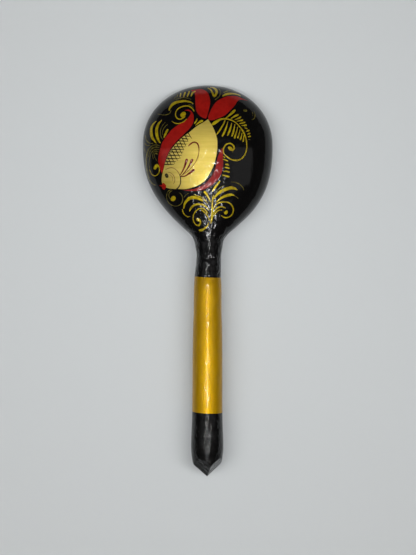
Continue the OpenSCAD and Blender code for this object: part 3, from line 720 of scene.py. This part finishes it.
UPPER_CURL = [
    [(-12.9, 84.3, 2.2), (-12.2, 84.9, 2.3)],
    [(-11.9, 83.6, 1), (-12.9, 82.7, 0.7), (-14.1, 82.2, 0.6), (-15.4, 82.6, 0.55), (-16.3, 84, 0.5),
     (-16.2, 85.8, 0.5), (-15.2, 87.4, 0.5), (-13.4, 88.5, 0.55), (-11.3, 89, 0.6), (-9.5, 88.8, 0.6),
     (-8.2, 88, 0.55), (-7.3, 87, 0.5), (-6.9, 86.3, 0.3)],
    [(-18.2, 81.2, 0.2), (-17, 80.4, 0.45), (-15.4, 80, 0.5), (-13.5, 80.3, 0.5), (-11.8, 81.2, 0.5),
     (-10.8, 82.3, 0.3)],
    [(-19.6, 86.9, 0.6), (-19.3, 88, 0.95), (-18, 89.7, 1.3), (-16, 90.8, 1.3), (-13.6, 91.3, 1.1),
     (-11.2, 91.5, 0.95), (-9, 91, 0.7), (-7.4, 90.2, 0.3)],
    [(-14, 93.7, 0.5), (-13.7, 95.3, 0.6)],
    [(-12.2, 93.7, 0.6), (-11.5, 95.8, 0.8)],
    [(-10.3, 93.8, 0.6), (-9.4, 96.2, 0.85)],
    [(-8.4, 94.1, 0.6), (-7.7, 95.7, 0.9), (-6.4, 96.4, 0.6)],
]
UPPER_CURL_FAINT = [
    [(-9.8, 90, 0.2), (-8.5, 89.4, 0.35), (-7.3, 88.2, 0.25)],
    [(-16.3, 92.3, 0.3), (-14.4, 92.9, 0.4), (-12, 93.2, 0.4), (-9.9, 92.9, 0.35), (-8.4, 92.3, 0.25)],
    [(-18.7, 86.5, 0.45), (-19.3, 85.3, 0.45), (-20.6, 84.6, 0.45), (-22.3, 84.4, 0.35),
     (-24, 84.6, 0.3), (-25.5, 84.9, 0.2)],
    [(-17.1, 92.4, 0.4), (-16.3, 93.7, 0.5)],
    [(-15.7, 93.5, 0.4), (-15.2, 94.7, 0.5)],
]
LEFT_FAN = [
    [(-26.3, 81.2, 0.3), (-27.8, 79.6, 0.8), (-28.7, 77.5, 1.2), (-28.8, 75, 1.4), (-28.2, 72.8, 1.3),
     (-27, 71, 0.8), (-26.2, 70, 0.3)],
    [(-23.5, 81.6, 0.4), (-25, 79.9, 1), (-25.9, 77.5, 1.4), (-26, 75, 1.5), (-25.6, 73, 1.3),
     (-24.9, 71.2, 0.9), (-24.2, 70.2, 0.4)],
    [(-20.4, 76.9, 0.7), (-21, 75.8, 1.05), (-21.7, 74.3, 0.9), (-22.3, 72.8, 0.4)],
]
LEFT_FAN_FAINT = [
    [(-21.6, 80.7, 0.25), (-23, 79, 0.35), (-24, 76.8, 0.4), (-24, 74.5, 0.45), (-23.5, 72.8, 0.5),
     (-23, 72, 0.3)],
    [(-20.5, 79.6, 0.2), (-21.9, 78.2, 0.3), (-22.9, 76.2, 0.35), (-23.1, 74.4, 0.25)],
    [(-31.8, 74, 0.4), (-31.2, 71.6, 0.5), (-29.8, 70, 0.6), (-28, 69.9, 0.4)],
    [(-32, 69.9, 0.4), (-31, 68.8, 0.6), (-29.7, 69, 0.5)],
    [(-32.2, 67.3, 0.4), (-31.8, 65.4, 0.4)],
]
LEFT_CURL = [
    [(-26.9, 57.2, 1.4), (-26.3, 58.3, 1.7)],
    [(-25.9, 59, 0.9), (-24.9, 58.1, 0.55), (-24.6, 56.4, 0.5), (-25, 54.7, 0.5), (-26, 53.6, 0.5),
     (-27.3, 53.4, 0.45), (-28.6, 54.3, 0.35), (-29.5, 56.4, 0.3)],
]
LEFT_CURL_FAINT = [
    [(-29.4, 56.2, 0.3), (-29.9, 59, 0.3), (-29.6, 62, 0.35), (-28.9, 64.5, 0.4), (-27.7, 66.2, 0.45),
     (-26.2, 66.9, 0.5), (-24.8, 66.7, 0.4)],
    [(-24.6, 68.6, 0.3), (-26.5, 69.2, 0.5), (-28.6, 68.4, 0.6), (-30.3, 66.4, 0.7), (-31.1, 63.5, 0.8),
     (-31.3, 60, 0.8), (-30.9, 56, 0.8), (-30.1, 52.6, 0.7), (-28.9, 50.1, 0.6), (-27.3, 48.8, 0.5),
     (-26.2, 48.6, 0.3)],
    [(-24.8, 67.7, 0.4), (-26.4, 68, 0.55), (-28.2, 67.3, 0.5), (-29.5, 65.5, 0.4), (-30, 63, 0.3)],
    [(-25.2, 65.5, 0.4), (-26.3, 66, 0.5), (-27.5, 65.3, 0.4), (-28, 63.6, 0.3), (-27.7, 61.8, 0.25)],
    [(-25.6, 64.4, 0.4), (-26.6, 64.9, 0.45), (-27.2, 63.7, 0.3), (-26.6, 62.2, 0.3), (-26, 61.2, 0.3)],
]
TAIL_LEAVES = [
    [(-5.4, 82.4, 0.45), (-5.8, 81.3, 0.7), (-6.6, 80.2, 0.5)],
    [(-2.7, 81.3, 0.9), (-3.4, 81.2, 1.1), (-4.6, 80.4, 0.75), (-6.1, 79.1, 0.3)],
]
TOP_LEAVES = [
    [(0.2, 98.1, 0.4), (1.5, 97.3, 0.65), (2.3, 96.1, 0.85), (2.8, 94.9, 1), (3.2, 93.9, 0.8)],
    [(1.5, 98.5, 0.4), (3, 98.2, 0.65), (4.2, 97.4, 1.1), (4.6, 96.2, 1.2), (4.2, 94.9, 1.1),
     (3.5, 93.9, 0.9)],
    [(7.8, 94.1, 0.6), (9, 94.8, 1), (10.8, 95.2, 1.05), (12.5, 95.3, 0.8), (14.2, 95.1, 0.6),
     (15.6, 94.7, 0.5), (16.8, 94.1, 0.3)],
]
TOP_LEAVES_FAINT = [
    [(5.4, 98.1, 0.3), (6.3, 97, 0.45), (6.5, 95.5, 0.45), (6, 94, 0.45), (4.9, 92.9, 0.45),
     (3.8, 92.2, 0.3)],
    [(8.2, 95.8, 0.4), (9.5, 96.4, 0.6), (11, 96.9, 0.6), (12.3, 97.1, 0.3)],
    [(13, 96.5, 0.3), (14.6, 96.3, 0.35), (16, 95.7, 0.25)],
]
RIGHT_CURL_FAINT = [
    [(18.7, 86.7, 1), (19.6, 86.6, 1.15)],
    [(23.7, 86.2, 0.3), (24.2, 84.7, 0.45), (24, 83.1, 0.5), (23.3, 82.2, 0.5), (22.6, 82, 0.3)],
    [(22.7, 85.9, 0.2), (23.1, 84.8, 0.25), (23, 83.8, 0.2)],
]
LADDER = [
    [(9.2, 59.2, 0.5), (10.1, 59.1, 0.9), (10.7, 58.8, 0.6)],
    [(8.9, 57.7, 0.4), (10, 57.5, 0.85), (10.9, 57.2, 0.6)],
    [(8.2, 55.6, 0.4), (9.5, 55.7, 0.8), (10.9, 55.3, 0.8)],
    [(7.7, 53.7, 0.4), (9, 53.4, 0.75), (10.3, 53, 0.85), (11, 52.9, 0.6)],
    [(7.9, 61.7, 0.3), (9, 61.5, 0.5), (10.3, 60.9, 0.45)],
    [(8, 63.3, 0.3), (8.8, 62.8, 0.5)],
]
LOWER_SPRAY = [
    [(1.7, 29.2, 0.5), (2.05, 31, 0.9), (2.2, 33, 1), (2.3, 35, 0.8), (2.35, 37, 0.7), (2.4, 39, 0.7),
     (2.6, 41.4, 0.6), (2.9, 43.4, 0.4)],
    [(6.3, 50.6, 0.4), (5.3, 49.3, 0.9), (4.2, 47.9, 0.95), (3.2, 46.6, 0.75), (2.4, 45.3, 0.4)],
    [(3.3, 41.8, 0.6), (4.6, 43.5, 1.05), (6.2, 44.9, 1.4), (8, 45.9, 1.5), (10, 46.7, 1.65),
     (12, 47.2, 1.6), (13.8, 46.9, 1.2), (15, 46.2, 0.5)],
    [(4.6, 40, 0.5), (6, 41.3, 0.9), (7.5, 42.3, 1.15), (9, 43, 1.25), (10.6, 43.5, 1.25),
     (12.2, 43.7, 1.1), (13.5, 43.3, 0.5)],
    [(2.9, 36.4, 0.4), (3.9, 38, 0.55), (5.1, 39.2, 0.6), (6.9, 39.9, 0.6), (8.8, 40, 0.6),
     (10.8, 39.6, 0.6), (12.2, 38.5, 0.6), (13, 36.8, 0.6), (13, 35, 0.6), (12.3, 33.4, 0.6),
     (11, 32.4, 0.6), (9.6, 32, 0.6), (8.1, 32.3, 0.5), (7.1, 33, 0.4)],
    [(2.6, 33.3, 0.4), (3.6, 35.2, 0.6), (4.8, 36.7, 0.65), (6.5, 37.5, 0.7), (8, 37.4, 0.65),
     (9.1, 36.9, 0.4)],
    [(2.9, 32.4, 0.3), (4.2, 34.4, 0.5), (5.6, 35.7, 0.5), (7.2, 35.9, 0.4)],
    [(9.2, 34.4, 1.6), (9.6, 34.8, 1.6)],
    [(-12.2, 36.8, 0.6), (-11.7, 39, 1.05), (-10.7, 40.6, 1.3), (-9.2, 41.8, 1.55), (-7.5, 42.3, 1.6),
     (-5.8, 42.1, 1.4), (-4, 41.4, 1.1), (-2.5, 40.5, 0.7)],
    [(-9.2, 35.4, 0.5), (-8.4, 37, 0.95), (-7.1, 38.2, 1.1), (-5.5, 38.8, 1), (-3.8, 38.8, 0.9),
     (-2, 38.3, 0.8), (-0.6, 37.4, 0.7), (0.6, 36.1, 0.5)],
    [(-12.9, 36.2, 0.3), (-12.4, 34.5, 0.45), (-11.4, 33.2, 0.5), (-10.2, 32.4, 0.5), (-9.1, 32.6, 0.3)],
    [(-1.5, 45.1, 1.1), (-0.7, 44.2, 1.1), (0.2, 42.6, 0.8), (0.9, 41.3, 0.65), (1.4, 40.1, 0.4)],
    [(-5.1, 31.1, 1.5), (-4.6, 30.8, 1.6)],
    [(-4.2, 30.9, 1.1), (-3.75, 29.8, 0.75), (-3.9, 28.7, 0.85), (-4.6, 28, 0.9), (-5.6, 28.2, 0.65),
     (-6.6, 29.1, 0.5), (-7.3, 30.6, 0.45), (-7.4, 32.2, 0.45), (-7, 33.8, 0.45), (-6.2, 35.2, 0.5),
     (-5, 36.2, 0.5), (-3.6, 36.7, 0.5), (-2.1, 36.5, 0.5), (-0.9, 35.6, 0.5), (0.1, 34.2, 0.4)],
    [(-3.4, 36.1, 0.3), (-1.9, 35, 0.5), (-0.6, 33.6, 0.5), (0.4, 32, 0.45), (1, 30.5, 0.4)],
    [(-4.1, 25.6, 0.9), (-3.2, 25.6, 1.2), (-2, 26.2, 1), (-0.9, 27, 0.75), (-0.2, 27.8, 0.6),
     (0.5, 29.2, 0.4)],
    [(-6.8, 43.8, 0.3), (-5, 43, 0.5), (-3.2, 42.4, 0.5), (-1.4, 41, 0.4), (0, 39.3, 0.3)],
]
LOWER_SPRAY_FAINT = [
    [(12, 50.2, 0.3), (14, 50, 0.45), (15.8, 49.3, 0.5), (17.3, 48.2, 0.5), (18.2, 47, 0.45),
     (18.4, 46, 0.3)],
    [(4.6, 45, 0.3), (5.5, 46.5, 0.45), (6.9, 47.7, 0.5), (8.4, 48.3, 0.3)],
    [(13.6, 43.2, 0.3), (14.9, 42.5, 0.35), (15.6, 41.6, 0.2)],
    [(-9.8, 44.5, 0.3), (-11, 43.6, 0.4), (-12, 42.4, 0.3)],
]
LOWER_CURL = [[(-17.8, 41.4, 2.2), (-17.4, 41.9, 2.3)]]
LOWER_CURL_FAINT = [
    [(-18, 45.8, 0.3), (-19.2, 45, 0.5), (-19.8, 43.6, 0.5), (-19.4, 42.1, 0.5), (-18.6, 41.2, 0.5)],
    [(-18.5, 46.3, 0.3), (-20, 45.6, 0.45), (-20.8, 44, 0.45), (-20.9, 42, 0.4), (-20.2, 40.1, 0.4),
     (-18.8, 38.7, 0.4), (-17, 38, 0.4), (-15, 38.1, 0.4), (-13.5, 39.1, 0.45), (-12.8, 40.7, 0.45),
     (-12.8, 42.4, 0.45), (-13.5, 43.9, 0.4), (-14.6, 44.8, 0.25)],
]

# The fish's scales: slanting lines down from the edge of the back, each from start to end, and level ones.
SCALE_SLANTS = [
    ((-9.9, 75.2), (-8.2, 72.4)), ((-11.5, 73.9), (-9.9, 70.7)), ((-13, 72.6), (-11, 68.4)),
    ((-14.4, 71.3), (-12.1, 66.4)), ((-15.8, 69.8), (-13, 64.4)), ((-17.1, 68.2), (-13.9, 62.2)),
    ((-18.3, 66.5), (-15.3, 61)), ((-19.4, 64.8), (-16.8, 59.6)), ((-20.3, 62.9), (-18.5, 58.9)),
    ((-21, 61), (-19.9, 58.7)),
]
SCALE_LEVELS = [
    ((-11.7, 73.8), (-9, 73.4)), ((-13, 72.4), (-9.8, 72.1)), ((-14.4, 71.2), (-10.3, 70.9)),
    ((-15.8, 69.7), (-10.7, 69.5)), ((-17, 68.2), (-11.4, 68.1)), ((-18, 66.8), (-12, 66.8)),
    ((-18.8, 65.5), (-12.6, 65.4)), ((-19.8, 63.8), (-13.2, 63.8)), ((-20.6, 62.1), (-14.2, 62.1)),
    ((-21.1, 60.6), (-16.2, 60.6)), ((-21.6, 59.1), (-17.2, 59.2)),
]


def scale_lines(ends, width):
    """Each line is full and dark by the fish's back and thins out to the end."""
    lines = []
    for (ax, ay), (bx, by) in ends:
        points = [(ax + (bx - ax) * f, ay + (by - ay) * f) for f in (0, 0.35, 0.7, 1)]
        lines.append([(x, y, width * w) for (x, y), w in zip(points, (1, 1, 0.75, 0.4))])
    return lines


# ---- Paints ----
# Metallic, the mottling's scale in each millimetre, and the base, darker and lighter colours.
PAINTS = {
    "black_lacquer": (
        0, (0.4, 0.4, 0.4), (0.0012, 0.001, 0.001), (0.0008, 0.0007, 0.0007), (0.002, 0.0017, 0.0016)
    ),
    "band_gold": (1, (0.5, 0.12, 0.5), (0.46, 0.258, 0.001), (0.43, 0.24, 0.0005), (0.49, 0.276, 0.0015)),
    "fish_gold": (0.75, (0.06, 0.8, 0.06), (0.61, 0.47, 0.093), (0.57, 0.435, 0.077), (0.65, 0.5, 0.108)),
    "enamel_red": (0, (0.35, 0.35, 0.35), (0.25, 0.005, 0.0025), (0.22, 0.004, 0.002), (0.29, 0.007, 0.004)),
    "deep_red": (0, (0.6, 0.6, 0.6), (0.12, 0.005, 0.003), (0.09, 0.004, 0.003), (0.17, 0.012, 0.008)),
    "thin_brown": (0.3, (0.6, 0.6, 0.6), (0.2, 0.1, 0.03), (0.14, 0.06, 0.015), (0.3, 0.16, 0.05)),
    "pale_pink": (0, (0.9, 0.9, 0.9), (0.45, 0.2, 0.15), (0.35, 0.13, 0.09), (0.55, 0.28, 0.22)),
    "scroll_gold": (0.35, (0.5, 0.5, 0.5), (0.34, 0.25, 0.002), (0.26, 0.18, 0.001), (0.46, 0.35, 0.006)),
    # Worn gold: the thin, worn scroll strokes, and the painted highlight in the fish's eye.
    "worn_gold": (0.35, (0.6, 0.6, 0.6), (0.08, 0.065, 0.008), (0.04, 0.032, 0.005), (0.14, 0.115, 0.015)),
    "black_line": (0, (0.8, 0.8, 0.8), (0.01, 0.007, 0.003), (0.004, 0.003, 0.002), (0.03, 0.024, 0.008)),
}
paint = {name: painted_coat(name, *values) for name, values in PAINTS.items()}
rub_round_handle(paint["band_gold"])
black = paint["black_lacquer"]

for name, material in (("wood_blank", limewood()), ("rim_lacquer", black)):
    nodes[name].data.materials.clear()
    nodes[name].data.materials.append(material)

# ---- Stations of each coat, closer together where the shape turns ----
front = WIDEST * (1 - np.cos(np.append(0, np.linspace(0.026, math.pi / 2, 66))))
bowl = np.arange(WIDEST, FLAT_END, 0.65)[1:]
neck = np.concatenate([
    np.linspace(FLAT_END, BAND_FRONT - 1, 49), np.linspace(BAND_FRONT - 0.8, BAND_FRONT + 1, 9),
])
hollow = np.concatenate([
    HOLLOW_MID - (HOLLOW_MID - HOLLOW_FRONT) * np.cos(np.linspace(0.04, math.pi / 2, 50))[:-1],
    HOLLOW_MID + (HOLLOW_BACK - HOLLOW_MID) * np.sin(np.linspace(0, math.pi / 2 - 0.05, 56)),
])
band = np.linspace(BAND_FRONT, BAND_BACK, 100)
end = np.concatenate([
    np.linspace(BAND_BACK - 1, BAND_BACK + 1, 9)[:-1], np.linspace(BAND_BACK + 1, 190, 30),
    np.linspace(190, FULL - 0.02, 72)[1:],
])
back = np.concatenate([front, bowl, neck])

# ---- Pieces ----
pieces = {
    "bowl_back_lacquer": coat_solid(
        "back_coat", back_skin(back, under_band(column(back))), back_skin(back, COAT), black
    ),
    "neck_underside_lacquer": coat_solid(
        "neck_coat", neck_skin(neck, COAT), neck_skin(neck, under_band(column(neck))), black
    ),
    "bowl_inside_gold": coat_solid(
        "inside_coat", hollow_skin(hollow, 0), hollow_skin(hollow, COAT), paint["band_gold"]
    ),
    "handle_gold_band": coat_solid(
        "gold_band", sleeve_skin(band, 0, BAND_LEAN), sleeve_skin(band, COAT, BAND_LEAN), paint["band_gold"],
        closed=True,
    ),
    "handle_end_lacquer": coat_solid(
        "end_coat", sleeve_skin(end, under_band(column(end))), sleeve_skin(end, COAT), black, closed=True
    ),
}

# Each piece of the fish, by its layers: paint, height over the wood's lacquer, filled shapes, strokes.
FISH = {
    "fish_body": ("fish", [("fish_gold", ON_LACQUER, [FISH_BODY], [])]),
    "fish_back_fin": ("back_fin", [("enamel_red", ON_LACQUER, [BACK_FIN], [])]),
    "fish_tail": ("tail", [("enamel_red", ON_LACQUER, [TAIL_LEFT, TAIL_RIGHT], [])]),
    "fish_belly_fin": ("belly_fin", [("enamel_red", ON_LACQUER, [BELLY_FIN], [])]),
    "fish_mouth": ("mouth", [("enamel_red", ON_FISH, [MOUTH], [])]),
    "fish_scales_along": ("scales_along", [("black_line", ON_FISH, [], scale_lines(SCALE_SLANTS, 0.55))]),
    "fish_scales_across": ("scales_across", [("black_line", ON_FISH, [], scale_lines(SCALE_LEVELS, 0.65))]),
    "fish_gill": ("gill", [
        ("black_line", ON_FISH, [], GILL_LINE),
        ("thin_brown", ON_FISH, [], GILL_TOP + CHEEK + BODY_CURVE_LOW),
        ("deep_red", ON_FISH, [], BODY_CURVE),
    ]),
    "fish_side_fin": ("side_fin", [
        ("deep_red", ON_FISH, [], SIDE_FIN),
        ("pale_pink", OVER_LINES, [], SIDE_FIN_DOTS),
    ]),
    "fish_eye": ("eye", [
        ("black_line", ON_FISH, [], EYE),
        # The eye's glint is a painted highlight, in the worn gold paint.
        ("worn_gold", OVER_LINES, [], EYE_GLINT),
    ]),
}
for name, (piece_name, layers) in FISH.items():
    pieces[name] = painted(piece_name, [(paint[layer[0]], *layer[1:]) for layer in layers])

# Each piece of the scrollwork, by its bold strokes and its thin, worn ones.
SCROLLS = {
    "fern_leaf": (FERN, FERN_FAINT),
    "upper_curl": (UPPER_CURL, UPPER_CURL_FAINT),
    "left_fan": (LEFT_FAN, LEFT_FAN_FAINT),
    "left_curl": (LEFT_CURL, LEFT_CURL_FAINT),
    "tail_leaves": (TAIL_LEAVES, []),
    "top_leaves": (TOP_LEAVES, TOP_LEAVES_FAINT),
    "right_curl": ([], RIGHT_CURL_FAINT),
    "ladder_leaflets": (LADDER, []),
    "lower_spray": (LOWER_SPRAY, LOWER_SPRAY_FAINT),
    "lower_curl": (LOWER_CURL, LOWER_CURL_FAINT),
}
for name, (bold, thin) in SCROLLS.items():
    layers = []
    if bold:
        layers.append((paint["scroll_gold"], ON_LACQUER, [], bold))
    if thin:
        layers.append((paint["worn_gold"], ON_LACQUER * UNDER_BOLD, [], thin))
    pieces[name] = painted(name + "_paint", layers)

for name, piece in pieces.items():
    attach(piece, "root")
    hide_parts(name)

# ---- Table, lights and camera, in metres ----
TABLE_HALF = 2 / MM
corners = [(x * TABLE_HALF, y * TABLE_HALF, 0) for x, y in ((-1, -1), (1, -1), (1, 1), (-1, 1))]
table = shaped("table", corners, [(0, 1, 2, 3)], [table_top()])


def rectangle_light(name, at, size_x, size_y, radiance):
    """A light facing down."""
    data = bpy.data.lights.new(name, "AREA")
    data.shape = "RECTANGLE"
    data.size = size_x
    data.size_y = size_y
    data.energy = radiance * math.pi * size_x * size_y
    lamp = bpy.data.objects.new(name, data)
    lamp.location = at
    bpy.context.collection.objects.link(lamp)
    return lamp


# A soft-edged strip of ceiling light across the spoon: nested rectangles that add up, brighter at the sides.
for size, depth in ((0.62, 0.2), (0.78, 0.32), (0.92, 0.44), (1.08, 0.56), (1.22, 0.68)):
    rectangle_light("strip", (0, LIGHT_Y, LIGHT_Z), 3.3 * size, depth, STRIP_RADIANCE)
    for middle in (-1.25, 1.25):
        rectangle_light("strip_side", (middle, LIGHT_Y, LIGHT_Z + 0.01), size, depth, SIDE_RADIANCE)

# A narrow bright line along the spoon, seen only in its varnish and gold, and a fill that they don't mirror.
bright_line = rectangle_light("bright_line", (0, -0.265, LIGHT_Z - 0.01), 0.03, 0.57, LINE_RADIANCE)
bright_line.visible_diffuse = False
fill = rectangle_light("fill", (0, LIGHT_Y, LIGHT_Z + 0.02), 3.1, 0.5, FILL_RADIANCE)
fill.visible_glossy = False

world = bpy.data.worlds.new("room")
bpy.context.scene.world = world
world.use_nodes = True
world.node_tree.nodes["Background"].inputs["Color"].default_value = ROOM_COLOR

lens = bpy.data.cameras.new("camera")
lens.lens = LENS
lens.sensor_width = SENSOR_W
camera = bpy.data.objects.new("camera", lens)
camera.location = (EYE_XY[0] * MM, EYE_XY[1] * MM, EYE_Z * MM)
bpy.context.collection.objects.link(camera)
bpy.context.scene.camera = camera
bpy.context.scene.view_settings.view_transform = "Standard"
